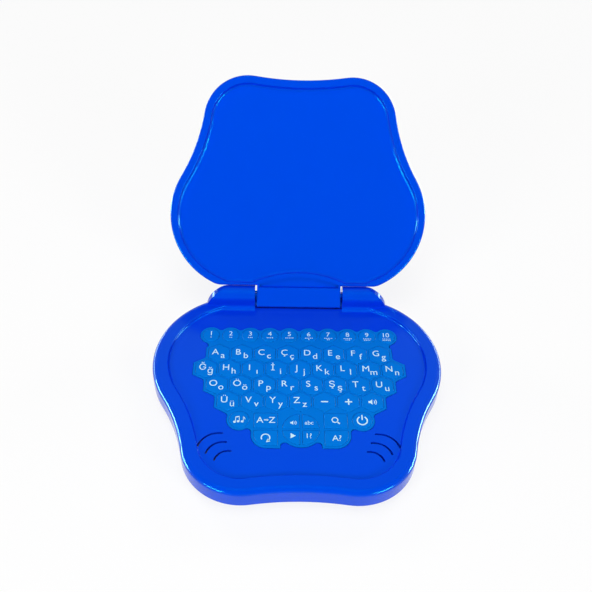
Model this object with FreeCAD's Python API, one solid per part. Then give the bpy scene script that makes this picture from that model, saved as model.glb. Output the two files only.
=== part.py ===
import FreeCAD, Part
import math
import os

# Toy laptop computer, stored with its lid open. Millimetres, +Z up, feet at z = 0.

# Plan outline of the base: five circles on each side, tangent to each other.
lobe_x = 40.1
lobe_y = -54.8
lobe_radius = 43.4
bulge_x = 41.0
bulge_y = 19.0
bulge_radius = 69.0
dip_radius = 225.0
waist_radius = 134.0
rear_radius = 156.0

# Heights in the base.
foot_height = 1.5
floor_thick = 2.0
skirt_bottom = 9.3
rim_top = 24.5
deck_depth = 2.8
wall = 2.2
rim_width = 12.0
rim_round = 4.0
rim_inner_round = 1.0
deck_edge_round = 1.2
plinth_inset = 7.0
lip_gap = 0.3
lip_height = 2.0
foot_radius = 6.0
foot_sink = 0.4

# Hinge. The keypad and the hinge share one middle line.
middle_x = 1.5
hinge_y = 83.0
hinge_z = 28.8
open_angle = 122.4
pin_radius = 2.0
pin_in_block = 9.0
pin_in_hump = 9.0
pin_end_gap = 0.4
running_gap = 0.05
tight_gap = 0.02
block_half = 33.7
block_low = 9.1
block_high = 7.1
block_face = 4.6
block_front_round = 1.0
block_back_round = 3.0
block_end_gap = 1.5
pocket_gap = 0.6
pocket_wall = 1.6
hump_radius = 8.15
hump_end_x = 72.3
hump_end_round = 16.0
hump_foot_round = 4.05
hump_corner = 7.0
hump_edge_round = 2.5
hump_core_radius = 5.6
hump_core_start = 10.0
hump_core_length = 17.0

# Lid.
lid_inset = 9.0
lid_gap = 0.3
lid_depth = 5.6
lid_recess = 3.0
lid_rim = 5.8
lid_rear = 8.5
lid_rear_rim = 2.2
lid_corner = 15.0
lid_front_round = 1.5
lid_back_round = 3.0
recess_corner = 5.0
recess_foot_round = 2.8
recess_edge_round = 0.5
arch_height = 15.9
arch_radius = 83.5
arch_rim = 3.2
arm_thick = 1.8
arm_set_back = 0.5
arm_overlap = 1.7
web_depth = 3.4

# Keypad.
key_pitch = 17.65
key_flat = 16.0
key_row_y = 25.8
key_rows = (8, 9, 8, 7)
number_count = 10
number_pitch = 15.27
number_radius = 6.5
number_y = 44.4
round_key_x = 44.2
round_key_y = -36.5
round_key_radius = 7.2
disc_y = -44.7
disc_radius = 13.3
disc_groove = 2.0
side_key_x = 25.1
side_key_wide = 17.0
side_key_tall = 13.0
side_key_corner = 9.0
key_corner = 0.8
key_edge_round = 0.6
key_rise = 0.85
key_below = 4.1
key_gap = 0.15
mat_margin = 1.8
mat_flange = 3.0
mat_flange_thick = 1.0
mat_rise = 0.45
mat_notch_round = 3.0
mat_gap = 0.25
mat_seat_gap = 0.2
mat_rear_reach = 4.0
mat_side_drop = 5.0

# Sound slots and speaker.
slot_x = 56.2
slot_y = -63.1
slot_step_x = -3.6
slot_step_y = -4.9
slot_radius = 15.2
slot_radius_step = -2.55
slot_width = 1.4
slot_count = 3
slot_from = 15.0
slot_to = 97.0
speaker_x = -60.0
speaker_y = -59.0
speaker_radius = 14.0
speaker_height = 3.4
magnet_radius = 7.0
magnet_height = 3.0
cone_thick = 0.5
cone_gap = 0.3
cone_lift = 1.6
speaker_gap = 0.3
speaker_ring = 1.6
speaker_sheet = 0.8
speaker_lip = 1.2
speaker_lip_width = 2.5

# Circuit board and what is on it.
board_thick = 1.6
board_drop = 1.4
board_gap = 0.5
board_waist_y = 2.0
board_taper_y = -28.0
board_taper_half = 64.0
board_front_y = -62.0
board_front_half = 36.0
post_spots = ((58.0, 34.0), (40.0, -34.0))
post_radius = 2.5
blob_radius = 7.0
blob_height = 1.6
blob_round = 1.2
can_radius = 2.5
can_height = 7.0
can_x = 22.0
can_pitch = 8.0
can_count = 3
chip_long = 3.2
chip_wide = 1.6
chip_height = 1.0
chip_x = -20.0
chip_pitch = 6.0
chip_count = 4
small_parts_y = -12.0

# Batteries and their box.
cell_radius = 5.25
cell_length = 43.7
cell_tip_radius = 1.9
cell_tip = 0.8
cell_round = 0.6
cell_pitch = 11.0
cell_y = 67.5
cell_lift = 0.1
box_wall = 1.4
box_roof = 1.2
box_gap = 0.3
contact_thick = 0.4
contact_half = 4.0
spring_wire = 0.35
spring_radius = 3.2
spring_length = 2.6
spring_turns = 3.0
door_gap = 0.3
door_ledge = 3.0
door_lug = 8.0
door_thick = 1.8

# Screws and feet, each place given for the right side and mirrored.
screw_spots = ((38.0, -80.0), (82.0, -14.0), (86.0, 42.0))
foot_spots = ((50.0, -70.0), (50.0, 72.0))
screw_radius = 1.4
screw_head_radius = 2.8
screw_head = 2.0
screw_length = 13.0
screw_sink = 3.4
screw_gap = 0.3
cross_length = 3.2
cross_width = 0.7
cross_depth = 0.8
door_screw_head = 0.9
door_screw_length = 6.5
pillar_radius = 3.4
pillar_gap = 0.2
boss_radius = 4.6

# Leads.
wire_radius = 0.6
wire_gap = 0.1
wire_spacing = 2.4
lead_notch = 2.0

# Heights that follow from the sizes above.
deck_top = rim_top - deck_depth
deck_under = deck_top - wall
floor_top = foot_height + floor_thick
mat_low = deck_under - mat_seat_gap - mat_flange_thick
mat_top = deck_top + mat_rise
key_low = deck_top - key_below
board_top = key_low - board_drop
board_low = board_top - board_thick
pocket_radius = math.hypot(block_low, block_face) + pocket_gap
hump_start = block_half + block_end_gap
lid_front = rim_top + lid_gap
lid_back = lid_front + lid_depth
row_rise = key_pitch * math.sqrt(3) / 2
far = 2 * (bulge_x + bulge_radius)
screw_seat = foot_height + screw_sink + screw_head
door_screw_seat = foot_height + door_screw_head
pillar_low = screw_seat + wall + pillar_gap

V = FreeCAD.Vector
up = V(0, 0, 1)
along = V(1, 0, 0)
parts = {}
os.makedirs("parts", exist_ok=True)


def box(x0, x1, y0, y1, z0, z1):
    return Part.makeBox(x1 - x0, y1 - y0, z1 - z0, V(x0, y0, z0))


def post(x, y, radius, z0, z1):
    return Part.makeCylinder(radius, z1 - z0, V(x, y, z0), up)


def bar(y, z, radius, x0, x1):
    return Part.makeCylinder(radius, x1 - x0, V(x0, y, z), along)


def prism(points, z0, z1):
    corners = [V(x, y, z0) for x, y in points]
    face = Part.Face(Part.makePolygon(corners + corners[:1]))
    return face.extrude(V(0, 0, z1 - z0))


def joined(shapes):
    shape = shapes[0].multiFuse(shapes[1:]) if len(shapes) > 1 else shapes[0]
    return shape.removeSplitter()


def one_solid(shape):
    return shape.removeSplitter().Solids[0]


def level(edge, z):
    return all(abs(v.Z - z) < 1e-4 for v in edge.Vertexes)


def rounded_top(shape, z, radius):
    return shape.makeFillet(radius, [e for e in shape.Edges if level(e, z)])


def upright(edge):
    a = edge.Vertexes[0].Point
    b = edge.Vertexes[-1].Point
    return abs(a.x - b.x) + abs(a.y - b.y) < 1e-6 and abs(a.z - b.z) > 1e-6


# Base plan
def outline_circles():
    lobe = V(lobe_x, lobe_y, 0)
    bulge = V(bulge_x, bulge_y, 0)
    reach = dip_radius + lobe_radius
    dip = V(0, lobe_y - math.sqrt(reach ** 2 - lobe_x ** 2), 0)
    reach = rear_radius - bulge_radius
    rear = V(0, bulge_y - math.sqrt(reach ** 2 - bulge_x ** 2), 0)
    span = bulge - lobe
    a = waist_radius + lobe_radius
    b = waist_radius + bulge_radius
    ahead = (a * a - b * b + span.Length ** 2) / (2 * span.Length)
    aside = math.sqrt(a * a - ahead * ahead)
    step = span * (1 / span.Length)
    waist = lobe + step * ahead + V(step.y, -step.x, 0) * aside
    return dip, lobe, waist, bulge, rear


def outline_wire(inset, z):
    dip, lobe, waist, bulge, rear = outline_circles()

    def on_line(a, b, radius):
        d = b - a
        return a + d * (radius / d.Length)

    p1 = on_line(lobe, dip, lobe_radius - inset)
    p2 = on_line(lobe, waist, lobe_radius - inset)
    p3 = on_line(bulge, waist, bulge_radius - inset)
    p4 = on_line(rear, bulge, rear_radius - inset)

    def left(p):
        return V(-p.x, p.y, 0)

    def arc(centre, a, b):
        m = (a + b) * 0.5 - centre
        m = centre + m * ((a - centre).Length / m.Length)
        lift = V(0, 0, z)
        return Part.Arc(a + lift, m + lift, b + lift).toShape()

    edges = [arc(dip, left(p1), p1), arc(lobe, p1, p2), arc(waist, p2, p3), arc(bulge, p3, p4),
             arc(rear, p4, left(p4)), arc(left(bulge), left(p4), left(p3)),
             arc(left(waist), left(p3), left(p2)), arc(left(lobe), left(p2), left(p1))]
    return Part.Wire(edges)


def plan(inset, z0, z1):
    return Part.Face(outline_wire(inset, z0)).extrude(V(0, 0, z1 - z0))


# Keys
def hexagon(flat, x, y):
    r = flat / math.sqrt(3)
    turn = [math.radians(30 + 60 * i) for i in range(6)]
    return [(x + r * math.cos(t), y + r * math.sin(t)) for t in turn]


def letter_places():
    places = []
    for row, count in enumerate(key_rows):
        for i in range(count):
            x = middle_x + (i - (count - 1) / 2) * key_pitch
            places.append((x, key_row_y - row * row_rise))
    return places


def number_places():
    half = (number_count - 1) / 2
    return [(middle_x + (i - half) * number_pitch, number_y) for i in range(number_count)]


def round_places():
    return [(middle_x - round_key_x, round_key_y), (middle_x + round_key_x, round_key_y)]


def corner_edges(shape, places):
    return [e for e in shape.Edges if upright(e) and any(
        abs(e.Vertexes[0].X - x) + abs(e.Vertexes[0].Y - y) < 1e-3 for x, y in places)]


def side_key(side, row, grow, z0, z1):
    near = disc_y + row * (disc_groove / 2 - grow)
    far = disc_y + row * (disc_groove / 2 + side_key_tall + grow)
    inner = middle_x + side * (side_key_x - side_key_wide / 2 - grow)
    outer = middle_x + side * (side_key_x + side_key_wide / 2 + grow)
    block = box(min(inner, outer), max(inner, outer), min(near, far), max(near, far), z0, z1)
    sharp = [(inner, near), (inner, far), (outer, near)]
    if row > 0:
        sharp.append((outer, far))
    else:
        block = block.makeFillet(side_key_corner + grow, corner_edges(block, [(outer, far)]))
    return block.makeFillet(key_corner, corner_edges(block, sharp))


def disc_key(side, row, grow, z0, z1):
    gap = disc_groove / 2 - grow
    disc = post(middle_x, disc_y, disc_radius + grow, z0, z1)
    x = sorted((middle_x + side * gap, middle_x + side * disc_radius * 2))
    y = sorted((disc_y + row * gap, disc_y + row * disc_radius * 2))
    quarter = disc.common(box(x[0], x[1], y[0], y[1], z0, z1)).Solids[0]
    if gap <= 0:
        return quarter
    return quarter.makeFillet(key_corner, [e for e in quarter.Edges if upright(e)])


def letter_key(x, y, grow, z0, z1):
    key = prism(hexagon(key_flat + 2 * grow, x, y), z0, z1)
    return key.makeFillet(key_corner, [e for e in key.Edges if upright(e)])


def all_keys(grow, z0, z1):
    keys = [letter_key(x, y, grow, z0, z1) for x, y in letter_places()]
    keys += [post(x, y, number_radius + grow, z0, z1) for x, y in number_places()]
    keys += [post(x, y, round_key_radius + grow, z0, z1) for x, y in round_places()]
    for row in (1, -1):
        keys += [side_key(side, row, grow, z0, z1) for side in (-1, 1)]
        keys += [disc_key(side, row, grow, z0, z1) for side in (-1, 1)]
    return keys


def pad_region(grow, z0, z1):
    low = key_row_y - (len(key_rows) - 1) * row_rise
    rear = (number_count - 1) / 2 * number_pitch + mat_rear_reach
    rear_low = key_row_y + key_flat / 2 / math.sqrt(3)
    side_low = round_key_y - mat_side_drop
    disc_low = disc_y - disc_groove / 2 - side_key_tall
    fill = [box(middle_x - rear, middle_x + rear, rear_low, number_y, z0, z1),
            box(middle_x - round_key_x, middle_x + round_key_x, side_low, low, z0, z1),
            box(middle_x - side_key_x, middle_x + side_key_x, disc_low, low, z0, z1)]
    wide = joined(all_keys(grow + mat_notch_round, z0, z1) + fill)
    face = [f for f in wide.Faces if abs(f.CenterOfMass.z - z0) < 1e-6][0]
    rim = face.OuterWire.makeOffset2D(-mat_notch_round)
    return Part.Face(rim).extrude(V(0, 0, z1 - z0))


# Top housing of the base
def hump_profile(x0, x1):
    front = hinge_y - hump_radius
    back = hinge_y + hump_radius
    foot = front - hump_foot_round
    bend = hump_foot_round * math.sqrt(0.5)
    p = [V(x0, foot, deck_under), V(x0, foot, deck_top), V(x0, front, deck_top + hump_foot_round),
         V(x0, front, hinge_z), V(x0, back, hinge_z), V(x0, back, deck_under)]
    dip = V(x0, foot + bend, deck_top + hump_foot_round - bend)
    edges = [Part.makeLine(p[0], p[1]), Part.Arc(p[1], dip, p[2]).toShape(), Part.makeLine(p[2], p[3]),
             Part.Arc(p[3], V(x0, hinge_y, hinge_z + hump_radius), p[4]).toShape(),
             Part.makeLine(p[4], p[5]), Part.makeLine(p[5], p[0])]
    return Part.Face(Part.Wire(edges)).extrude(V(x1 - x0, 0, 0))


def hump_shoulder(side):
    top = hinge_z + hump_radius
    low = top - hump_end_round
    reach = math.sqrt(hump_end_round ** 2 - (rim_top - low) ** 2)
    centre = hump_end_x - reach
    y = hinge_y - 3 * hump_radius
    bend = hump_end_round * math.sqrt(0.5)
    inner = middle_x + side * hump_start
    p = [V(inner, y, 0), V(inner, y, top), V(side * centre, y, top),
         V(side * (centre + hump_end_round), y, low), V(side * (centre + hump_end_round), y, 0)]
    mid = V(side * (centre + bend), y, low + bend)
    edges = [Part.makeLine(p[0], p[1]), Part.makeLine(p[1], p[2]), Part.Arc(p[2], mid, p[3]).toShape(),
             Part.makeLine(p[3], p[4]), Part.makeLine(p[4], p[0])]
    return Part.Face(Part.Wire(edges)).extrude(V(0, 6 * hump_radius, 0))


def hump_plan(side):
    front = hinge_y - hump_radius - hump_foot_round
    end = side * hump_end_x
    x = sorted((middle_x + side * hump_start, end))
    slab = box(x[0], x[1], front, hinge_y + 2 * hump_radius, 0, hinge_z + 2 * hump_radius)
    return slab.makeFillet(hump_corner, corner_edges(slab, [(end, front)]))


def on_rear_wall(edge):
    rear = outline_circles()[4]
    points = [edge.valueAt(edge.FirstParameter + t * (edge.LastParameter - edge.FirstParameter))
              for t in (0, 0.5, 1)]
    return all(abs(math.hypot(p.x - rear.x, p.y - rear.y) - rear_radius) < 1e-3 for p in points)


def hump(side):
    x = sorted((middle_x + side * hump_start, side * hump_end_x))
    body = hump_profile(x[0], x[1]).common(hump_shoulder(side)).common(hump_plan(side))
    body = body.common(plan(0, 0, hinge_z + 2 * hump_radius)).Solids[0]
    return body.makeFillet(hump_edge_round, [e for e in body.Edges if on_rear_wall(e) and not upright(e)
                                             and e.CenterOfMass.z > rim_top])


def hump_core(side):
    start = middle_x + side * (hump_start + hump_core_start)
    x = sorted((start, start + side * hump_core_length))
    core = bar(hinge_y, hinge_z, hump_core_radius, x[0], x[1])
    core = core.fuse(box(x[0], x[1], hinge_y - hump_core_radius, hinge_y + hump_core_radius,
                         deck_under - 1, hinge_z))
    return core.common(plan(wall, 0, hinge_z + 2 * hump_radius))


def sound_slot(side, i):
    x = slot_x + i * slot_step_x
    y = slot_y + i * slot_step_y
    radius = slot_radius + i * slot_radius_step

    def at(r, degrees):
        t = math.radians(degrees)
        return V(side * (x + r * math.cos(t)), y + r * math.sin(t), deck_under - 1)

    mid = (slot_from + slot_to) / 2
    outer = radius + slot_width / 2
    inner = radius - slot_width / 2
    turn = math.degrees(slot_width / 2 / radius)
    edges = [Part.Arc(at(outer, slot_from), at(outer, mid), at(outer, slot_to)).toShape(),
             Part.Arc(at(outer, slot_to), at(radius, slot_to + turn), at(inner, slot_to)).toShape(),
             Part.Arc(at(inner, slot_to), at(inner, mid), at(inner, slot_from)).toShape(),
             Part.Arc(at(inner, slot_from), at(radius, slot_from - turn), at(outer, slot_from)).toShape()]
    return Part.Face(Part.Wire(edges)).extrude(V(0, 0, wall + 2))


def both_sides(spots, middle=0.0):
    return [(middle + side * x, y) for x, y in spots for side in (-1, 1)]


def make_top_housing():
    body = rounded_top(plan(0, skirt_bottom, rim_top), rim_top, rim_round)
    sunk = plan(rim_width, deck_top, rim_top + 1)
    body = body.cut(sunk.makeFillet(deck_edge_round, [e for e in sunk.Edges if level(e, deck_top)]))
    top = [f for f in body.Faces if len(f.Wires) == 2 and abs(f.CenterOfMass.z - rim_top) < 1e-3][0]
    inner = [w for w in top.Wires if not w.isSame(top.OuterWire)][0]
    edges = [e for e in body.Edges if any(e.isSame(i) for i in inner.Edges)]
    body = body.makeFillet(rim_inner_round, edges)
    hollow = plan(wall, skirt_bottom - 1, rim_top - wall)
    hollow = hollow.cut(plan(rim_width - wall, deck_under, rim_top))
    body = body.cut(hollow)
    x0 = middle_x - hump_start
    x1 = middle_x + hump_start
    tub = bar(hinge_y, hinge_z, pocket_radius + pocket_wall, x0 - pocket_wall, x1 + pocket_wall)
    front_part = tub.common(box(-far, far, 0, hinge_y, 0, deck_top))
    rear_part = tub.common(box(-far, far, hinge_y, far, 0, rim_top))
    rear_part = rear_part.common(plan(rim_round, 0, rim_top))
    additions = [hump(-1), hump(1), front_part, rear_part]
    for x, y in both_sides(screw_spots):
        additions.append(post(x, y, pillar_radius, pillar_low, deck_under + wall / 2))
    ring_low = deck_under - speaker_height
    bore = speaker_radius + speaker_gap
    ring = post(speaker_x, speaker_y, bore + speaker_ring, ring_low, deck_under + wall / 2)
    additions.append(ring.cut(post(speaker_x, speaker_y, bore, ring_low - 1, deck_under)))
    body = body.multiFuse(additions)
    cuts = [bar(hinge_y, hinge_z, pocket_radius, x0, x1), hump_core(-1), hump_core(1)]
    reach = hump_start + pin_in_hump
    cuts.append(bar(hinge_y, hinge_z, pin_radius + tight_gap, middle_x - reach, middle_x + reach))
    cuts.append(pad_region(mat_margin + mat_gap, deck_under - 1, deck_top + 1))
    for side in (-1, 1):
        cuts += [sound_slot(side, i) for i in range(slot_count)]
    depth = screw_seat + screw_length - screw_head + 1
    for x, y in both_sides(screw_spots):
        cuts.append(post(x, y, screw_radius + tight_gap, pillar_low - 1, depth))
    return one_solid(body.cut(cuts))


# Battery box
box_half_x = cell_length / 2 + cell_tip / 2 + spring_length / 2 + contact_thick + box_gap
box_half_y = cell_pitch + cell_radius + box_gap
cell_z = floor_top + cell_lift + cell_radius
box_top = cell_z + cell_radius + box_gap
door_x = box_half_x - door_ledge / 2
door_y = box_half_y


def make_bottom_housing():
    flange_low = skirt_bottom + lip_gap
    body = plan(wall + lip_gap, flange_low, flange_low + lip_height)
    body = body.fuse(plan(plinth_inset, foot_height, flange_low))
    body = body.cut(plan(plinth_inset + floor_thick, floor_top, rim_top))
    additions = []
    for x, y in both_sides(screw_spots):
        additions.append(post(x, y, boss_radius, foot_height, screw_seat + wall))
    for x, y in both_sides(post_spots, middle_x):
        additions.append(post(x, y, post_radius, foot_height, board_low))
    wide = box_half_x + box_wall
    deep = box_half_y + box_wall
    additions.append(box(-wide, wide, cell_y - deep, cell_y + deep, foot_height, box_top + box_roof))
    lug_y = cell_y - deep - door_lug / 2
    lug_top = door_screw_seat + door_screw_length + wall
    additions.append(post(0, lug_y, boss_radius, foot_height, lug_top))
    body = body.multiFuse(additions)
    inside = box(-box_half_x, box_half_x, cell_y - box_half_y, cell_y + box_half_y, floor_top, box_top)
    cuts = [inside, box(-door_x, door_x, cell_y - door_y, cell_y + door_y, 0, floor_top + 1)]
    ledge = door_thick + door_gap
    cuts.append(box(-door_lug, door_lug, cell_y - deep - door_lug, cell_y - door_y + 1, 0,
                    foot_height + ledge))
    cuts.append(post(0, lug_y, screw_radius + tight_gap, 0, lug_top - wall / 2))
    for x, y in both_sides(screw_spots):
        cuts.append(post(x, y, screw_head_radius + screw_gap, 0, screw_seat))
        cuts.append(post(x, y, screw_radius + screw_gap, 0, screw_seat + wall + 1))
    for x, y in both_sides(foot_spots):
        cuts.append(post(x, y, foot_radius + tight_gap, 0, foot_height + foot_sink))
    for side in (-1, 1):
        x = side * (box_half_x + box_wall / 2)
        cuts.append(box(x - box_wall, x + box_wall, cell_y - box_half_y, cell_y - box_half_y + lead_notch,
                        box_top - lead_notch, box_top))
    return one_solid(body.cut(cuts))


def make_battery_door():
    top = foot_height + door_thick
    plate = box(-door_x + door_gap, door_x - door_gap, cell_y - door_y + door_gap,
                cell_y + door_y - door_gap, foot_height, top)
    deep = box_half_y + box_wall
    lug = box(-door_lug + door_gap, door_lug - door_gap, cell_y - deep - door_lug + door_gap,
              cell_y - door_y + 1, foot_height, top)
    door = plate.fuse(lug)
    lug_y = cell_y - deep - door_lug / 2
    return one_solid(door.cut([post(0, lug_y, screw_radius + screw_gap, 0, top + 1),
                               post(0, lug_y, screw_head_radius + screw_gap, 0, door_screw_seat)]))


def screw(x, y, seat, length, head):
    shape = post(x, y, screw_head_radius, seat - head, seat)
    shape = shape.fuse(post(x, y, screw_radius, seat, seat + length))
    a = cross_length / 2
    b = cross_width / 2
    z0 = seat - head - 1
    z1 = seat - head + min(cross_depth, head / 2)
    cross = [box(x - a, x + a, y - b, y + b, z0, z1), box(x - b, x + b, y - a, y + a, z0, z1)]
    return one_solid(shape.cut(cross))


def make_cells():
    cells = []
    for i in (-1, 0, 1):
        turn = -1 if i == 0 else 1
        shift = -turn * cell_tip / 2 + turn * spring_length / 2
        x0 = shift - cell_length / 2
        y = cell_y + i * cell_pitch
        can = bar(y, cell_z, cell_radius, x0, x0 + cell_length)
        can = can.makeFillet(cell_round, [e for e in can.Edges if len(e.Vertexes) == 1])
        tip = sorted((x0 + (cell_length if turn > 0 else 0), shift + turn * (cell_length / 2 + cell_tip)))
        cells.append(one_solid(can.fuse(bar(y, cell_z, cell_tip_radius, tip[0], tip[1]))))
    return cells


def make_contacts():
    shapes = []
    half = box_half_x - box_gap / 2
    for i in (-1, 0, 1):
        y = cell_y + i * cell_pitch
        turn = -1 if i == 0 else 1
        for side in (-1, 1):
            x = sorted((side * half, side * (half - contact_thick)))
            plate = box(x[0], x[1], y - contact_half, y + contact_half, cell_z - contact_half,
                        cell_z + contact_half)
            if side == -turn:
                turns = Part.makeHelix(spring_length / spring_turns, spring_length - 2 * spring_wire,
                                       spring_radius)
                ring = Part.Wire(Part.makeCircle(spring_wire, V(spring_radius, 0, 0), V(0, 1, 0)))
                coil = Part.Wire(turns).makePipeShell([ring], True, True)
                coil.rotate(V(0, 0, 0), V(0, 1, 0), 90 if side < 0 else -90)
                coil.translate(V(side * (half - contact_thick - spring_wire / 2), y, cell_z))
                plate = plate.fuse(coil)
            shapes.append(one_solid(plate))
    return shapes


# Speaker
def turned(points):
    corners = [V(r, 0, z) for r, z in points]
    face = Part.Face(Part.makePolygon(corners + corners[:1]))
    shape = face.revolve(V(0, 0, 0), up, 360)
    shape.translate(V(speaker_x, speaker_y, 0))
    return shape.Solids[0] if shape.Solids else Part.Solid(shape)


speaker_top = deck_under - lip_gap
speaker_low = speaker_top - speaker_height


def make_speaker():
    r = speaker_radius
    m = magnet_radius
    s = speaker_sheet
    lip = speaker_top - speaker_lip
    inner = r - speaker_lip_width
    frame = turned([(m, speaker_low), (m + s, speaker_low), (inner + s, lip), (r, lip),
                    (r, speaker_top), (inner, speaker_top), (inner, lip + s / 2), (m, speaker_low + s)])
    c = cone_thick
    rim = inner - cone_gap
    low = speaker_low + cone_lift
    cone = turned([(0, low), (m / 2, low), (rim, speaker_top - c), (rim, speaker_top), (m / 2, low + c * 2),
                   (0, low + c * 2)])
    magnet = post(speaker_x, speaker_y, m - tight_gap, speaker_low + s - magnet_height, speaker_low + s)
    return frame, cone, magnet


# Circuit board
def make_board():
    rear_y = cell_y - box_half_y - box_wall - board_gap
    rear_half = (number_count - 1) / 2 * number_pitch + number_radius
    waist_half = (max(key_rows) - 1) / 2 * key_pitch + key_flat / 2
    half = [(rear_half, rear_y), (waist_half, board_waist_y), (board_taper_half, board_taper_y),
            (board_front_half, board_front_y)]
    points = [(middle_x + x, y) for x, y in half] + [(middle_x - x, y) for x, y in reversed(half)]
    return prism(points, board_low, board_top)


def make_board_parts():
    blob = post(middle_x, 0, blob_radius, board_low - blob_height, board_low)
    shapes = [rounded_top(blob, board_low - blob_height, blob_round)]
    for i in range(can_count):
        x = middle_x + can_x + i * can_pitch
        shapes.append(post(x, small_parts_y, can_radius, board_low - can_height, board_low))
    for i in range(chip_count):
        x = middle_x + chip_x - i * chip_pitch
        y = small_parts_y
        shapes.append(box(x - chip_long / 2, x + chip_long / 2, y - chip_wide / 2, y + chip_wide / 2,
                          board_low - chip_height, board_low))
    return shapes


def wire(points):
    curve = Part.BSplineCurve()
    curve.interpolate([V(*p) for p in points])
    path = Part.Wire(curve.toShape())
    ring = Part.Wire(Part.makeCircle(wire_radius, V(*points[0]), curve.tangent(0)[0]))
    return path.makePipeShell([ring], True, True).Solids[0]


def make_wires():
    shapes = []
    z = board_low - wire_radius - wire_gap
    for i in (-1, 1):
        y = speaker_y + i * wire_spacing / 2
        shapes.append(wire([(speaker_x + 11, y + 6, speaker_low - 1),
                            (speaker_x + 17, y + 14, speaker_low - 3), (speaker_x + 24, y + 20, z)]))
        x = i * (box_half_x + box_wall + wire_spacing / 2)
        shapes.append(wire([(x, cell_y - 12, box_top - 3), (x + i * 4, cell_y - 20, box_top - 4),
                            (x + i * 5, cell_y - 28, z)]))
    return shapes


# Lid, made closed and then swung open
def lid_plan(extra, rear, z0, z1):
    slab = plan(lid_inset + extra, z0, z1)
    return slab.common(box(-far, far, -far, hinge_y - rear, z0 - 1, z1 + 1)).Solids[0]


def make_lid():
    body = lid_plan(0, lid_rear, lid_front, lid_back)
    rear_y = hinge_y - lid_rear
    corners = [e for e in body.Edges if upright(e) and abs(e.Vertexes[0].Y - rear_y) < 1e-4]
    body = body.makeFillet(lid_corner, corners)
    body = rounded_top(body, lid_back, lid_back_round)
    body = rounded_top(body, lid_front, lid_front_round)
    arch_y = hinge_y - arch_height + arch_radius
    recess = lid_plan(lid_rim, lid_rear + lid_rear_rim, lid_front - 1, lid_front + lid_recess)
    recess = recess.cut(post(middle_x, arch_y, arch_radius + arch_rim, 0, lid_back)).Solids[0]
    sharp = [e for e in recess.Edges if upright(e) and e.CenterOfMass.y > rear_y - arch_height]
    recess = recess.makeFillet(recess_corner, sharp)
    body = body.cut(rounded_top(recess, lid_front + lid_recess, recess_foot_round))
    face = [f for f in body.Faces if len(f.Wires) == 2 and abs(f.CenterOfMass.z - lid_front) < 1e-3][0]
    inner = [w for w in face.Wires if not w.isSame(face.OuterWire)][0]
    edges = [e for e in body.Edges if any(e.isSame(i) for i in inner.Edges)]
    body = body.makeFillet(recess_edge_round, edges)
    inner = middle_x - block_half + arm_thick
    outer = middle_x + block_half - arm_thick
    valley = post(middle_x, arch_y, arch_radius, lid_front - 1, lid_front + web_depth)
    body = body.cut(valley.common(box(inner, outer, 0, far, 0, lid_back)))
    x0 = middle_x - block_half
    x1 = middle_x + block_half
    block = box(x0, x1, hinge_y - block_high, hinge_y + block_low, hinge_z - block_face, hinge_z + block_face)

    def lengthwise(e):
        return abs(e.Vertexes[0].X - e.Vertexes[-1].X) > block_half

    front = [e for e in block.Edges if lengthwise(e) and e.Vertexes[0].Z < hinge_z]
    block = block.makeFillet(block_front_round, front)
    back = [e for e in block.Edges if lengthwise(e) and e.Vertexes[0].Z > hinge_z + block_face - 0.01]
    block = block.makeFillet(block_back_round, back)
    front_y = rear_y - arm_overlap
    back_y = hinge_y - block_high / 2
    web = box(x0, x1, front_y, back_y, lid_front + web_depth, lid_back)
    arms = [box(x0, inner, front_y, back_y, lid_front + arm_set_back, lid_back),
            box(outer, x1, front_y, back_y, lid_front + arm_set_back, lid_back)]
    body = body.multiFuse([block, web] + arms)
    for side in (-1, 1):
        end = middle_x + side * (block_half + 1)
        x = sorted((end, middle_x + side * (block_half - pin_in_block - pin_end_gap)))
        body = body.cut(bar(hinge_y, hinge_z, pin_radius + running_gap, x[0], x[1]))
    lid = one_solid(body)
    lid.rotate(V(0, hinge_y, hinge_z), along, -open_angle)
    return lid


def make_pins():
    pins = []
    for side in (-1, 1):
        a = middle_x + side * (block_half - pin_in_block)
        b = middle_x + side * (hump_start + pin_in_hump - pin_end_gap)
        x = sorted((a, b))
        pins.append(bar(hinge_y, hinge_z, pin_radius, x[0], x[1]))
    return pins


def make_mat():
    plate = pad_region(mat_margin, mat_low, mat_top)
    plate = plate.fuse(pad_region(mat_margin + mat_flange, mat_low, mat_low + mat_flange_thick))
    return one_solid(plate.cut(all_keys(key_gap, mat_low - 1, mat_top + 1)))


# Everything by node name
parts["base_top_housing"] = [make_top_housing()]
parts["base_bottom_housing"] = [make_bottom_housing()]
parts["lid_shell"] = [make_lid()]
parts["hinge_pins"] = make_pins()
parts["keypad_mat"] = [make_mat()]
parts["circuit_board"] = [make_board()]
parts["board_parts"] = make_board_parts()
frame_shape, cone_shape, magnet_shape = make_speaker()
parts["speaker_frame"] = [frame_shape]
parts["speaker_cone"] = [cone_shape]
parts["speaker_magnet"] = [magnet_shape]
parts["battery_door"] = [make_battery_door()]
parts["batteries"] = make_cells()
parts["battery_contacts"] = make_contacts()
parts["housing_screws"] = [screw(x, y, screw_seat, screw_length - screw_head, screw_head)
                           for x, y in both_sides(screw_spots)]
parts["battery_door_screw"] = [screw(0, cell_y - box_half_y - box_wall - door_lug / 2, door_screw_seat,
                                     door_screw_length, door_screw_head)]
parts["rubber_feet"] = [post(x, y, foot_radius, 0, foot_height + foot_sink)
                        for x, y in both_sides(foot_spots)]
parts["wires"] = make_wires()

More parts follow.
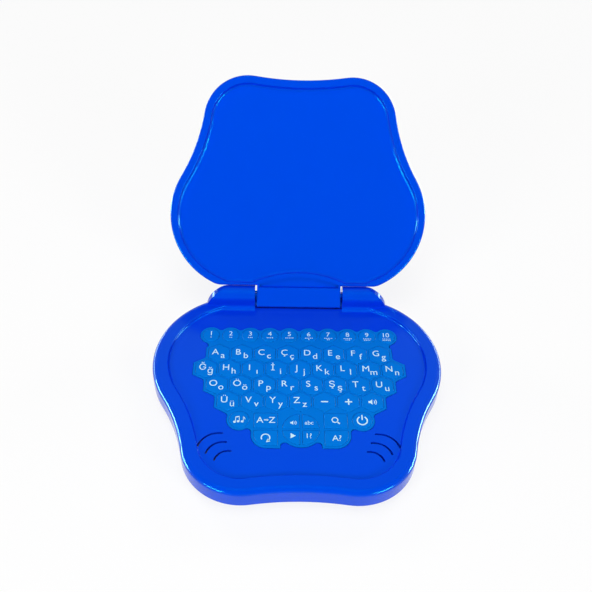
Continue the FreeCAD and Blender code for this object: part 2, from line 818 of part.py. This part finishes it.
key_top = deck_top + key_rise
keys = [rounded_top(k, key_top, key_edge_round) for k in all_keys(0, key_low, key_top)]
letters = len(letter_places())
for i in range(letters):
    parts["key_letter_%02d" % (i + 1)] = [keys[i]]
parts["number_keys"] = keys[letters:letters + number_count]
rest = keys[letters + number_count:]
parts["key_music"] = [rest[0]]
parts["key_power"] = [rest[1]]
for i in range(8):
    parts["key_function_%d" % (i + 1)] = [rest[2 + i]]

# The frame's origin is under the middle of the open object.
whole = FreeCAD.BoundBox()
for shapes in parts.values():
    for shape in shapes:
        whole.add(shape.BoundBox)
shift = V(0, -(whole.YMin + whole.YMax) / 2, 0)
for node, shapes in parts.items():
    for shape in shapes:
        shape.translate(shift)
    solid = shapes[0] if len(shapes) == 1 else Part.makeCompound(shapes)
    solid.exportStep("parts/%s.step" % node)
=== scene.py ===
import math

import bmesh
import bpy
from mathutils import Matrix, Vector


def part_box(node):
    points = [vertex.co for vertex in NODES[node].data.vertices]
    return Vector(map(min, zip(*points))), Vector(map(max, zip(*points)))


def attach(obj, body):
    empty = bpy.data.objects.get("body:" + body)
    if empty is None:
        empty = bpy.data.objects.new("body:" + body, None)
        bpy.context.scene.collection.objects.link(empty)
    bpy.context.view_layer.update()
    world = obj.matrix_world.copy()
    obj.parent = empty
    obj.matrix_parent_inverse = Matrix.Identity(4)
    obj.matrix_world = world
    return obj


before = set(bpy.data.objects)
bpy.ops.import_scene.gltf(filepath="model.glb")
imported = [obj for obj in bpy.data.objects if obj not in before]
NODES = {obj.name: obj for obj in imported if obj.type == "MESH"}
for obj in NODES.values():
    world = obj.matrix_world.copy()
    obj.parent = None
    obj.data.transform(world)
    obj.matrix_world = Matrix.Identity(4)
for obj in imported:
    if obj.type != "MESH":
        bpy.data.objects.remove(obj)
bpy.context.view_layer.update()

bl_info = {
    "name": "Toy laptop looks",
    "version": (1, 0, 0),
    "blender": (4, 5, 0),
    "location": "View3D > Sidebar > Toy laptop",
    "description": "Finishes, key marks and studio for the toy laptop",
    "category": "Object",
}

# The CAD box is kept before anything is added
MM = 0.001
WHITE = (1.0, 1.0, 1.0)

# Gloss on the blue plastic and rubber has no red in it
GLOSS_TINT = (0.0, 0.85, 1.0)

# How deep the pits of the grain are, as a share of the size of a grain
PIT_DEPTH = 0.2

SHELL_NODES = ("base_top_housing", "base_bottom_housing", "lid_shell", "battery_door", "hinge_pins")
STEEL_NODES = ("housing_screws", "battery_door_screw", "battery_contacts")

# Capitals in the order of the letter keys, row by row from the rear
LETTERS = ("A", "B", "C", "Ç", "D", "E", "F", "G",
           "Ğ", "H", "I", "İ", "J", "K", "L", "M", "N",
           "O", "Ö", "P", "R", "S", "Ş", "T", "U",
           "Ü", "V", "Y", "Z")
SMALL = {"I": "ı", "İ": "i"}

# Marks are drawn in millimetres about the middle of a key
CAPITAL_PLACE = (-2.7, -1.5)
SMALL_PLACE = (3.1, -4.9)
NUMBER_COUNT = 10
NUMBER_BASE = -0.4
DOT_RADIUS = 0.42
DOT_STEPS = 12
DOT_GAP = 1.35
DOTS_IN_ROW = 5
FIRST_DOT_ROW = -2.4
DOT_ROW_GAP = 1.4

# Floor, camera and lamps, in metres
FLOOR_RADIUS = 6.0
FLOOR_STEPS = 96
SENSOR_WIDTH = 36.0
NEAR_CLIP = 0.01
LAMP_AIM = (0.0, 0.03, 0.06)
TOP_LIGHT_PLACE = (-0.1, -0.25, 1.5)
TOP_LIGHT_SIZE = (0.9, 0.9)

# Lamps that stand in pairs: the place of the right one, its width and height, and whether it only shines
SIDE_LAMPS = {
    "front_light": ((1.0, -1.15, 0.7), (0.5, 0.5), False),
    "rear_light": ((0.9, 0.95, 0.85), (0.4, 0.4), False),
    "side_shine": ((1.3, 0.12, 0.1), (0.6, 0.18), True),
    "front_shine": ((0.8, -1.0, 0.1), (0.6, 0.2), True),
    "back_shine": ((1.05, 0.8, 0.1), (0.9, 0.18), True),
}


class ToyShellSettings(bpy.types.PropertyGroup):
    """Sizes and colours of the moulded shell."""

    colour: bpy.props.FloatVectorProperty(
        name="Plastic colour", description="Blue of the housing and lid",
        subtype="COLOR", size=3, min=0.0, max=1.0, default=(0.0, 0.041, 0.74))
    deep_colour: bpy.props.FloatVectorProperty(
        name="Deep colour", description="Slightly darker blue of the flow marks",
        subtype="COLOR", size=3, min=0.0, max=1.0, default=(0.0, 0.037, 0.71))
    roughness: bpy.props.FloatProperty(
        name="Roughness", description="Roughness of the moulded surface",
        subtype="FACTOR", min=0.0, max=1.0, default=0.14)
    grain: bpy.props.FloatProperty(
        name="Grain size", description="Size of one grain of the moulded surface",
        subtype="DISTANCE", unit="LENGTH", min=0.0001, max=0.01, default=0.0006)


class ToyKeypadSettings(bpy.types.PropertyGroup):
    """Sizes and colours of the keys and their marks."""

    colour: bpy.props.FloatVectorProperty(
        name="Key colour", description="Blue of the soft keys",
        subtype="COLOR", size=3, min=0.0, max=1.0, default=(0.0, 0.185, 0.72))
    mat_colour: bpy.props.FloatVectorProperty(
        name="Mat colour", description="Blue of the sheet between the keys",
        subtype="COLOR", size=3, min=0.0, max=1.0, default=(0.0, 0.178, 0.7))
    mark_colour: bpy.props.FloatVectorProperty(
        name="Mark colour", description="Printed white of the key marks",
        subtype="COLOR", size=3, min=0.0, max=1.0, default=(0.64, 0.9, 0.97))
    capital: bpy.props.FloatProperty(
        name="Capital height", description="Height of the capital letters",
        subtype="DISTANCE", unit="LENGTH", min=0.001, max=0.02, default=0.0054)
    number: bpy.props.FloatProperty(
        name="Number height", description="Height of the numbers",
        subtype="DISTANCE", unit="LENGTH", min=0.001, max=0.02, default=0.0042)
    print_thick: bpy.props.FloatProperty(
        name="Print thickness", description="How far the print stands above a key",
        subtype="DISTANCE", unit="LENGTH", min=0.00001, max=0.001, default=0.00004)


class ToyStageSettings(bpy.types.PropertyGroup):
    """Floor, light and camera."""

    floor_colour: bpy.props.FloatVectorProperty(
        name="Floor colour", description="Colour of the floor",
        subtype="COLOR", size=3, min=0.0, max=1.0, default=(0.96, 0.96, 0.96))
    sky: bpy.props.FloatProperty(
        name="Sky strength", description="Strength of the even light from all round",
        min=0.0, max=10.0, default=0.05)
    glow: bpy.props.FloatProperty(
        name="Floor glow", description="Share of the floor's white that shows without light",
        subtype="FACTOR", min=0.0, max=1.0, default=0.85)
    top_light: bpy.props.FloatProperty(
        name="Top light", description="Power of the soft lamp above",
        unit="POWER", min=0.0, max=100.0, default=11.5)
    front_light: bpy.props.FloatProperty(
        name="Front lights", description="Power of each soft lamp in front",
        unit="POWER", min=0.0, max=100.0, default=9.6)
    rear_light: bpy.props.FloatProperty(
        name="Rear lights", description="Power of each soft lamp behind",
        unit="POWER", min=0.0, max=100.0, default=4.0)
    side_shine: bpy.props.FloatProperty(
        name="Side shine", description="Power of each low strip at the side",
        unit="POWER", min=0.0, max=100.0, default=18.0)
    front_shine: bpy.props.FloatProperty(
        name="Front shine", description="Power of each low strip in front",
        unit="POWER", min=0.0, max=100.0, default=9.0)
    back_shine: bpy.props.FloatProperty(
        name="Back shine", description="Power of each low strip behind",
        unit="POWER", min=0.0, max=100.0, default=6.0)
    lens: bpy.props.FloatProperty(
        name="Lens", description="Focal length of the camera in millimetres",
        min=10.0, max=200.0, default=50.484)
    camera_place: bpy.props.FloatVectorProperty(
        name="Camera place", description="Where the camera stands",
        subtype="XYZ", unit="LENGTH", size=3, default=(-0.022633, -0.430376, 0.506911))
    camera_right: bpy.props.FloatVectorProperty(
        name="Camera right", description="Direction of the right-hand edge of the picture",
        subtype="DIRECTION", size=3, default=(0.999373, -0.013432, 0.032767))
    camera_up: bpy.props.FloatVectorProperty(
        name="Camera up", description="Direction of the top edge of the picture",
        subtype="DIRECTION", size=3, default=(-0.013553, 0.709759, 0.704315))


# Shader helpers
def socket(group, name, kind, out=False, default=None):
    """Adds a named input or output to a node group."""
    side = "OUTPUT" if out else "INPUT"
    made = group.interface.new_socket(name=name, in_out=side, socket_type=kind)
    if default is not None:
        made.default_value = default
    return made


def node(tree, kind, **values):
    """Adds a node and sets its options."""
    made = tree.nodes.new(kind)
    for name, value in values.items():
        setattr(made, name, value)
    return made


def noise(tree, place, detail, scale=None):
    """Adds a noise texture that stays with the piece."""
    made = node(tree, "ShaderNodeTexNoise", noise_dimensions="3D")
    made.inputs["Detail"].default_value = detail
    if scale is not None:
        made.inputs["Scale"].default_value = scale
    tree.links.new(place.outputs["Object"], made.inputs["Vector"])
    return made


def grain_group():
    """Moulded surface: slow flow shade, fine pits and a roughness that varies over it."""
    found = bpy.data.node_groups.get("Moulded grain")
    if found:
        return found
    group = bpy.data.node_groups.new("Moulded grain", "ShaderNodeTree")
    socket(group, "Grain size", "NodeSocketFloat", default=0.0006)
    socket(group, "Roughness", "NodeSocketFloat", default=0.3)
    socket(group, "Roughness spread", "NodeSocketFloat", default=0.08)
    socket(group, "Flow", "NodeSocketFloat", True)
    socket(group, "Roughness", "NodeSocketFloat", True)
    socket(group, "Height", "NodeSocketFloat", True)
    entry = node(group, "NodeGroupInput")
    leave = node(group, "NodeGroupOutput")
    place = node(group, "ShaderNodeTexCoord")
    link = group.links.new
    flow = noise(group, place, detail=3.0, scale=14.0)
    flow.inputs["Distortion"].default_value = 0.6
    link(flow.outputs["Fac"], leave.inputs["Flow"])
    many = node(group, "ShaderNodeMath", operation="DIVIDE")
    many.inputs[0].default_value = 1.0
    link(entry.outputs["Grain size"], many.inputs[1])
    pits = noise(group, place, detail=2.0)
    link(many.outputs[0], pits.inputs["Scale"])
    link(pits.outputs["Fac"], leave.inputs["Height"])
    smear = noise(group, place, detail=4.0, scale=60.0)
    centre = node(group, "ShaderNodeMath", operation="SUBTRACT")
    link(smear.outputs["Fac"], centre.inputs[0])
    centre.inputs[1].default_value = 0.5
    spread = node(group, "ShaderNodeMath", operation="MULTIPLY_ADD", use_clamp=True)
    link(centre.outputs[0], spread.inputs[0])
    link(entry.outputs["Roughness spread"], spread.inputs[1])
    link(entry.outputs["Roughness"], spread.inputs[2])
    link(spread.outputs[0], leave.inputs["Roughness"])
    return group


def finish(name, colour, second, *, roughness, spread, grain, bump,
           metallic=0.0, specular=0.5, tint=WHITE):
    """A material of two near colours over the moulded grain."""
    material = bpy.data.materials.get(name)
    if material:
        return material
    material = bpy.data.materials.new(name)
    material.use_nodes = True
    tree = material.node_tree
    tree.nodes.clear()
    link = tree.links.new
    out = node(tree, "ShaderNodeOutputMaterial")
    shader = node(tree, "ShaderNodeBsdfPrincipled")
    shader.inputs["Metallic"].default_value = metallic
    shader.inputs["Specular IOR Level"].default_value = specular
    shader.inputs["Specular Tint"].default_value = (*tint, 1.0)
    link(shader.outputs["BSDF"], out.inputs["Surface"])
    surface = node(tree, "ShaderNodeGroup", node_tree=grain_group())
    surface.inputs["Grain size"].default_value = grain
    surface.inputs["Roughness"].default_value = roughness
    surface.inputs["Roughness spread"].default_value = spread
    mix = node(tree, "ShaderNodeMix", data_type="RGBA")
    mix.inputs["A"].default_value = (*colour, 1.0)
    mix.inputs["B"].default_value = (*second, 1.0)
    link(surface.outputs["Flow"], mix.inputs["Factor"])
    link(mix.outputs["Result"], shader.inputs["Base Color"])
    link(surface.outputs["Roughness"], shader.inputs["Roughness"])
    relief = node(tree, "ShaderNodeBump")
    relief.inputs["Strength"].default_value = bump
    relief.inputs["Distance"].default_value = grain * PIT_DEPTH
    link(surface.outputs["Height"], relief.inputs["Height"])
    link(relief.outputs["Normal"], shader.inputs["Normal"])
    return material


def shade(colour, share):
    """The same colour, a little darker."""
    return tuple(part * share for part in colour)


def dress(names, material):
    """Gives CAD nodes their material."""
    for name in names:
        data = NODES[name].data
        data.materials.clear()
        data.materials.append(material)


def mark_material():
    """Slightly rough white print."""
    pad = bpy.context.scene.toy_keypad
    return finish("Printed white", pad.mark_colour, shade(pad.mark_colour, 0.94),
                  roughness=0.5, spread=0.1, grain=0.0004, bump=0.1)


# Mark helpers: thin solids in millimetres about the middle of a key
class Print:
    """Thin print built up from simple outlines."""

    def __init__(self):
        self.mesh = bmesh.new()
        self.thick = bpy.context.scene.toy_keypad.print_thick / MM

    def outline(self, points):
        """Adds a flat shape with this edge."""
        area = sum(a[0] * b[1] - b[0] * a[1] for a, b in zip(points, points[1:] + points[:1]))
        points = points if area > 0 else points[::-1]
        low = [self.mesh.verts.new((x, y, 0.0)) for x, y in points]
        top = [self.mesh.verts.new((x, y, self.thick)) for x, y in points]
        self.mesh.faces.new(top)
        self.mesh.faces.new(low[::-1])
        for i in range(len(points)):
            self.mesh.faces.new((low[i - 1], low[i], top[i], top[i - 1]))
        return self

    def disc(self, x, y, radius, steps=24):
        """Adds a round dot."""
        turn = [2 * math.pi * i / steps for i in range(steps)]
        return self.outline([(x + radius * math.cos(t), y + radius * math.sin(t)) for t in turn])

    def ring(self, x, y, radius, width, start, end, steps=24):
        """Adds a round line from one angle to another, in degrees."""
        turn = [math.radians(start + (end - start) * i / steps) for i in range(steps + 1)]
        outer = radius + width / 2
        inner = radius - width / 2
        edge = [(x + outer * math.cos(t), y + outer * math.sin(t)) for t in turn]
        edge += [(x + inner * math.cos(t), y + inner * math.sin(t)) for t in reversed(turn)]
        return self.outline(edge)

    def stroke(self, a, b, width):
        """Adds a straight line from a to b."""
        d = Vector((b[0] - a[0], b[1] - a[1]))
        s = Vector((-d.y, d.x)).normalized() * width / 2
        return self.outline([(a[0] + s.x, a[1] + s.y), (a[0] - s.x, a[1] - s.y),
                             (b[0] - s.x, b[1] - s.y), (b[0] + s.x, b[1] + s.y)])

    def text(self, words, x, y, height):
        """Sets words with their middle at x and their base line at y."""
        curve = bpy.data.curves.new("print", "FONT")
        curve.body = "H"
        holder = bpy.data.objects.new("print", curve)
        bpy.context.scene.collection.objects.link(holder)

        def shape():
            depth = bpy.context.evaluated_depsgraph_get()
            return bpy.data.meshes.new_from_object(holder.evaluated_get(depth))

        gauge = shape()
        scale = height / max(v.co.y for v in gauge.vertices)
        curve.body = words
        curve.extrude = self.thick / 2 / scale
        made = shape()
        across = [v.co.x for v in made.vertices]
        middle = (min(across) + max(across)) / 2
        made.transform(Matrix.Translation((x, y, self.thick / 2)) @ Matrix.Scale(scale, 4)
                       @ Matrix.Translation((-middle, 0, 0)))
        self.mesh.from_mesh(made)
        for data in (gauge, made):
            bpy.data.meshes.remove(data)
        bpy.data.objects.remove(holder)
        bpy.data.curves.remove(curve)
        return self

    def lay(self, name, place, body):
        """Puts the print on a key and lets it ride there."""
        bmesh.ops.remove_doubles(self.mesh, verts=self.mesh.verts, dist=1e-4)
        data = bpy.data.meshes.new(name)
        self.mesh.to_mesh(data)
        self.mesh.free()
        data.transform(Matrix.Translation(place) @ Matrix.Scale(MM, 4))
        data.materials.append(mark_material())
        piece = bpy.data.objects.new(name, data)
        bpy.context.scene.collection.objects.link(piece)
        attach(piece, body)
        return piece


def key_place(name):
    """Middle of the top face of a key."""
    low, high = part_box(name)
    return Vector(((low.x + high.x) / 2, (low.y + high.y) / 2, high.z))


# Signs for the keys that carry no single letter
def minus(mark):
    arm, width = 2.6, 1.0
    return mark.stroke((-arm, 0), (arm, 0), width)


def plus(mark):
    arm, half = 2.6, 0.5
    return mark.outline([(-arm, -half), (-half, -half), (-half, -arm), (half, -arm),
                         (half, -half), (arm, -half), (arm, half), (half, half),
                         (half, arm), (-half, arm), (-half, half), (-arm, half)])


def loudspeaker(mark, x, y, size):
    back, neck, low, high, line = 2.2, 1.2, 0.7, 1.8, 0.45
    horn = [(-back, -low), (-neck, -low), (0, -high), (0, high), (-neck, low), (-back, low)]
    mark.outline([(x + a * size, y + b * size) for a, b in horn])
    for radius in (1.3, 2.3):
        mark.ring(x, y, radius * size, line * size, -45, 45, 10)
    return mark


def volume(mark):
    return loudspeaker(mark, -0.2, 0, 1.3)


def spoken(mark):
    return loudspeaker(mark, 1.6, -1.6, 0.95)


def notes(mark):
    head, side, stem, beam = 0.95, 0.75, 0.45, 0.9
    for x, y in ((-3.2, -2.3), (-0.6, -1.8)):
        mark.disc(x, y, head)
        mark.stroke((x + side, y), (x + side, y + 4.3), stem)
    mark.stroke((-2.65, 1.9), (0.35, 2.4), beam)
    mark.disc(2.3, -1.9, head)
    mark.stroke((3.05, -1.9), (3.05, 2.5), stem)
    return mark.outline([(3.0, 2.6), (3.9, 1.6), (4.6, 0.3), (4.2, -0.3), (4.0, 0.6), (3.0, 1.5)])


def power(mark):
    line = 0.95
    mark.ring(0, -0.3, 3.6, line, -240, 60)
    return mark.stroke((0, 0.2), (0, 4.6), line)


def again(mark):
    mark.ring(0, 0, 3.0, 0.8, -60, 210)
    return mark.outline([(0.3, -3.8), (3.3, -3.2), (1.6, -0.8)])


def magnifier(mark):
    x, y, radius, line, handle = -0.6, 0.7, 2.1, 0.7, 0.9
    mark.ring(x, y, radius, line, 0, 180)
    mark.ring(x, y, radius, line, 180, 360)
    return mark.stroke((x + 1.5, y - 1.5), (x + 3.4, y - 3.4), handle)


def first_to_last(mark):
    base, height, line, middle = -2.2, 5.0, 0.7, 0.3
    mark.text("A", -4.2, base, height).text("Z", 4.4, base, height)
    mark.stroke((-1.3, middle), (1.2, middle), line)
    return mark.outline([(0.7, -0.7), (2.0, middle), (0.7, 1.3)])


def alphabet(mark):
    return mark.text("abc", -1.2, -3.0, 3.2)


def which_letter(mark):
    return mark.text("A?", 0, -2.2, 4.6)


def which_number(mark):
    return mark.text("1?", -1.4, -0.6, 4.0)


def play(mark):
    return mark.outline([(-0.4, -0.8), (-0.4, 3.6), (3.4, 1.4)])


SIGNS = {
    "key_letter_30": minus,
    "key_letter_31": plus,
    "key_letter_32": volume,
    "key_music": notes,
    "key_power": power,
    "key_function_1": first_to_last,
    "key_function_2": magnifier,
    "key_function_3": spoken,
    "key_function_4": alphabet,
    "key_function_5": again,
    "key_function_6": which_letter,
    "key_function_7": play,
    "key_function_8": which_number,
}


class TOY_OT_shell(bpy.types.Operator):
    """Give the housing, lid, battery door and hinge pins their moulded blue plastic."""

    bl_idname = "toy.shell"
    bl_label = "Shell plastic"

    def execute(self, context):
        shell = context.scene.toy_shell
        plastic = finish("Blue plastic", shell.colour, shell.deep_colour, roughness=shell.roughness,
                         spread=0.08, grain=shell.grain, bump=0.05, specular=0.6, tint=GLOSS_TINT)
        dress(SHELL_NODES, plastic)
        return {"FINISHED"}


class TOY_OT_keypad(bpy.types.Operator):
    """Give the mat and keys their soft lighter blue."""

    bl_idname = "toy.keypad"
    bl_label = "Keypad rubber"

    def execute(self, context):
        pad = context.scene.toy_keypad
        soft = finish("Key rubber", pad.colour, shade(pad.colour, 0.92), roughness=0.38,
                      spread=0.1, grain=0.0005, bump=0.08, specular=0.3, tint=GLOSS_TINT)
        sheet = finish("Mat rubber", pad.mat_colour, shade(pad.mat_colour, 0.9), roughness=0.4,
                       spread=0.1, grain=0.0005, bump=0.08, specular=0.3, tint=GLOSS_TINT)
        dress([n for n in NODES if n.startswith("key_") or n == "number_keys"], soft)
        dress(("keypad_mat",), sheet)
        return {"FINISHED"}


class TOY_OT_inside(bpy.types.Operator):
    """Finish the parts inside: board, speaker, cells and leads."""

    bl_idname = "toy.inside"
    bl_label = "Inner parts"

    def execute(self, context):
        laminate = finish("Green laminate", (0.03, 0.2, 0.06), (0.02, 0.14, 0.05),
                          roughness=0.4, spread=0.1, grain=0.0008, bump=0.1)
        resin = finish("Black resin", (0.015, 0.015, 0.017), (0.025, 0.025, 0.027),
                       roughness=0.35, spread=0.1, grain=0.0006, bump=0.15)
        plated = finish("Plated sheet", (0.5, 0.5, 0.5), (0.42, 0.42, 0.43),
                        roughness=0.35, spread=0.15, grain=0.0005, bump=0.05, metallic=1.0)
        film = finish("Cone film", (0.03, 0.03, 0.034), (0.05, 0.05, 0.055),
                      roughness=0.55, spread=0.1, grain=0.0007, bump=0.3)
        magnet = finish("Magnet", (0.06, 0.06, 0.06), (0.1, 0.1, 0.1),
                        roughness=0.7, spread=0.1, grain=0.0005, bump=0.3)
        sleeve = finish("Cell sleeve", (0.5, 0.5, 0.52), (0.42, 0.42, 0.45),
                        roughness=0.3, spread=0.1, grain=0.0008, bump=0.05, metallic=0.6)
        lead = finish("Lead insulation", (0.45, 0.03, 0.02), (0.36, 0.02, 0.015),
                      roughness=0.5, spread=0.1, grain=0.0004, bump=0.1)
        dress(("circuit_board",), laminate)
        dress(("board_parts",), resin)
        dress(("speaker_frame",), plated)
        dress(("speaker_cone",), film)
        dress(("speaker_magnet",), magnet)
        dress(("batteries",), sleeve)
        dress(("wires",), lead)
        return {"FINISHED"}


class TOY_OT_hardware(bpy.types.Operator):
    """Finish the screws, battery contacts and feet."""

    bl_idname = "toy.hardware"
    bl_label = "Hardware"

    def execute(self, context):
        steel = finish("Bright steel", (0.62, 0.62, 0.63), (0.52, 0.52, 0.54),
                       roughness=0.28, spread=0.2, grain=0.0004, bump=0.08, metallic=1.0)
        rubber = finish("Foot rubber", (0.02, 0.02, 0.022), (0.035, 0.035, 0.037),
                        roughness=0.75, spread=0.1, grain=0.0006, bump=0.3)
        dress(STEEL_NODES, steel)
        dress(("rubber_feet",), rubber)
        return {"FINISHED"}


class TOY_OT_letters(bpy.types.Operator):
    """Print a capital and a small letter on each letter key."""

    bl_idname = "toy.letters"
    bl_label = "Letter marks"

    def execute(self, context):
        height = context.scene.toy_keypad.capital / MM
        for i, letter in enumerate(LETTERS, 1):
            name = "key_letter_%02d" % i
            small = SMALL.get(letter, letter.lower())
            mark = Print().text(letter, *CAPITAL_PLACE, height).text(small, *SMALL_PLACE, height)
            mark.lay("mark_letter_%02d" % i, key_place(name), name)
        return {"FINISHED"}


class TOY_OT_numbers(bpy.types.Operator):
    """Print a number and its counting dots on each round number key."""

    bl_idname = "toy.numbers"
    bl_label = "Number marks"

    def execute(self, context):
        height = context.scene.toy_keypad.number / MM
        low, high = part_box("number_keys")
        radius = (high.y - low.y) / 2
        run = high.x - low.x - 2 * radius
        for i in range(NUMBER_COUNT):
            number = i + 1
            place = Vector((low.x + radius + run * i / (NUMBER_COUNT - 1), low.y + radius, high.z))
            mark = Print().text(str(number), 0.0, NUMBER_BASE, height)
            rows = (min(number, DOTS_IN_ROW), max(number - DOTS_IN_ROW, 0))
            for row, count in enumerate(rows):
                for k in range(count):
                    mark.disc((k - (count - 1) / 2) * DOT_GAP, FIRST_DOT_ROW - row * DOT_ROW_GAP,
                              DOT_RADIUS, DOT_STEPS)
            mark.lay("mark_number_%02d" % number, place, "number_keys")
        return {"FINISHED"}


class TOY_OT_symbols(bpy.types.Operator):
    """Print the plain signs on the keys that carry no single letter."""

    bl_idname = "toy.symbols"
    bl_label = "Sign marks"

    def execute(self, context):
        for name, draw in SIGNS.items():
            draw(Print()).lay(name.replace("key_", "mark_", 1), key_place(name), name)
        return {"FINISHED"}


# Stage helpers
def floor_disc():
    """Round flat floor."""
    mesh = bmesh.new()
    bmesh.ops.create_circle(mesh, cap_ends=True, segments=FLOOR_STEPS, radius=FLOOR_RADIUS)
    data = bpy.data.meshes.new("floor")
    mesh.to_mesh(data)
    mesh.free()
    return bpy.data.objects.new("floor", data)


def shown_rays(tree, strength):
    """Strength for what is looked at, mirrored or looked through, and nought for the rest."""
    link = tree.links.new
    path = node(tree, "ShaderNodeLightPath")
    seen = node(tree, "ShaderNodeMath", operation="MAXIMUM")
    link(path.outputs["Is Camera Ray"], seen.inputs[0])
    link(path.outputs["Is Glossy Ray"], seen.inputs[1])
    shown = node(tree, "ShaderNodeMath", operation="MAXIMUM")
    link(seen.outputs[0], shown.inputs[0])
    link(path.outputs["Is Transmission Ray"], shown.inputs[1])
    share = node(tree, "ShaderNodeMath", operation="MULTIPLY")
    share.inputs[1].default_value = strength
    link(shown.outputs[0], share.inputs[0])
    return share.outputs[0]


def floor_material(stage):
    """White floor that keeps the shadow: most of its white shows without light."""
    material = finish("Pale floor", stage.floor_colour, shade(stage.floor_colour, 0.99),
                      roughness=0.8, spread=0.02, grain=0.004, bump=0.0, specular=0.0)
    tree = material.node_tree
    link = tree.links.new
    out = [n for n in tree.nodes if n.type == "OUTPUT_MATERIAL"][0]
    lit = [n for n in tree.nodes if n.type == "BSDF_PRINCIPLED"][0]
    white = node(tree, "ShaderNodeEmission")
    mix = node(tree, "ShaderNodeMixShader")
    link(shown_rays(tree, stage.glow), mix.inputs[0])
    link(lit.outputs["BSDF"], mix.inputs[1])
    link(white.outputs["Emission"], mix.inputs[2])
    link(mix.outputs["Shader"], out.inputs["Surface"])
    return material


def studio_world(stage):
    """White all round for what is seen and mirrored, and a dim even light for the rest."""
    world = bpy.data.worlds.new("studio")
    world.use_nodes = True
    tree = world.node_tree
    back = tree.nodes["Background"]
    back.inputs["Color"].default_value = (*WHITE, 1.0)
    level = node(tree, "ShaderNodeMath", operation="MAXIMUM")
    level.inputs[1].default_value = stage.sky
    tree.links.new(shown_rays(tree, stage.glow), level.inputs[0])
    tree.links.new(level.outputs[0], back.inputs["Strength"])
    return world


def lamp(name, place, size, power, shine=False):
    """A soft lamp that lights the toy, or a low strip that only shines on its edges."""
    data = bpy.data.lights.new(name, "AREA")
    data.shape = "RECTANGLE"
    data.size, data.size_y = size
    data.energy = power
    made = bpy.data.objects.new(name, data)
    bpy.context.scene.collection.objects.link(made)
    made.location = place
    aim = Vector(LAMP_AIM) - Vector(place)
    made.rotation_euler = aim.to_track_quat("-Z", "Y").to_euler()
    made.visible_camera = False
    made.visible_diffuse = not shine
    made.visible_glossy = shine


def studio_camera(stage):
    """Camera at the photograph's viewing angle."""
    eye = bpy.data.cameras.new("camera")
    eye.sensor_width = SENSOR_WIDTH
    eye.lens = stage.lens
    eye.clip_start = NEAR_CLIP
    right = Vector(stage.camera_right)
    up = Vector(stage.camera_up)
    turn = Matrix((right, up, right.cross(up))).transposed()
    camera = bpy.data.objects.new("camera", eye)
    camera.matrix_world = Matrix.Translation(stage.camera_place) @ turn.to_4x4()
    return camera


class TOY_OT_stage(bpy.types.Operator):
    """Set the floor, the soft light and the camera."""

    bl_idname = "toy.stage"
    bl_label = "Studio"

    def execute(self, context):
        scene = context.scene
        stage = scene.toy_stage
        floor = floor_disc()
        floor.data.materials.append(floor_material(stage))
        scene.collection.objects.link(floor)
        scene.world = studio_world(stage)
        lamp("top_light", TOP_LIGHT_PLACE, TOP_LIGHT_SIZE, stage.top_light)
        for side, side_name in ((-1, "left"), (1, "right")):
            for name, ((x, y, z), size, shine) in SIDE_LAMPS.items():
                lamp(side_name + "_" + name, (side * x, y, z), size, getattr(stage, name), shine)
        camera = studio_camera(stage)
        scene.collection.objects.link(camera)
        scene.camera = camera
        scene.view_settings.view_transform = "Standard"
        return {"FINISHED"}


class TOY_PT_panel(bpy.types.Panel):
    """Lists the steps that dress the toy."""

    bl_idname = "TOY_PT_panel"
    bl_label = "Toy laptop"
    bl_space_type = "VIEW_3D"
    bl_region_type = "UI"
    bl_category = "Toy laptop"

    def draw(self, context):
        for step in STEPS:
            self.layout.operator(step.bl_idname)
        for group in SETTINGS:
            settings = getattr(context.scene, group)
            for name in settings.__annotations__:
                self.layout.prop(settings, name)


STEPS = (TOY_OT_shell, TOY_OT_keypad, TOY_OT_inside, TOY_OT_hardware,
         TOY_OT_letters, TOY_OT_numbers, TOY_OT_symbols, TOY_OT_stage)
SETTINGS = {
    "toy_shell": ToyShellSettings,
    "toy_keypad": ToyKeypadSettings,
    "toy_stage": ToyStageSettings,
}


def register():
    for name, group in SETTINGS.items():
        bpy.utils.register_class(group)
        setattr(bpy.types.Scene, name, bpy.props.PointerProperty(type=group))
    for step in STEPS:
        bpy.utils.register_class(step)
    bpy.utils.register_class(TOY_PT_panel)


def unregister():
    bpy.utils.unregister_class(TOY_PT_panel)
    for step in reversed(STEPS):
        bpy.utils.unregister_class(step)
    for name, group in SETTINGS.items():
        delattr(bpy.types.Scene, name)
        bpy.utils.unregister_class(group)


def main():
    register()
    bpy.ops.toy.shell()
    bpy.ops.toy.keypad()
    bpy.ops.toy.inside()
    bpy.ops.toy.hardware()
    bpy.ops.toy.letters()
    bpy.ops.toy.numbers()
    bpy.ops.toy.symbols()
    bpy.ops.toy.stage()


if __name__ == "__main__":
    main()
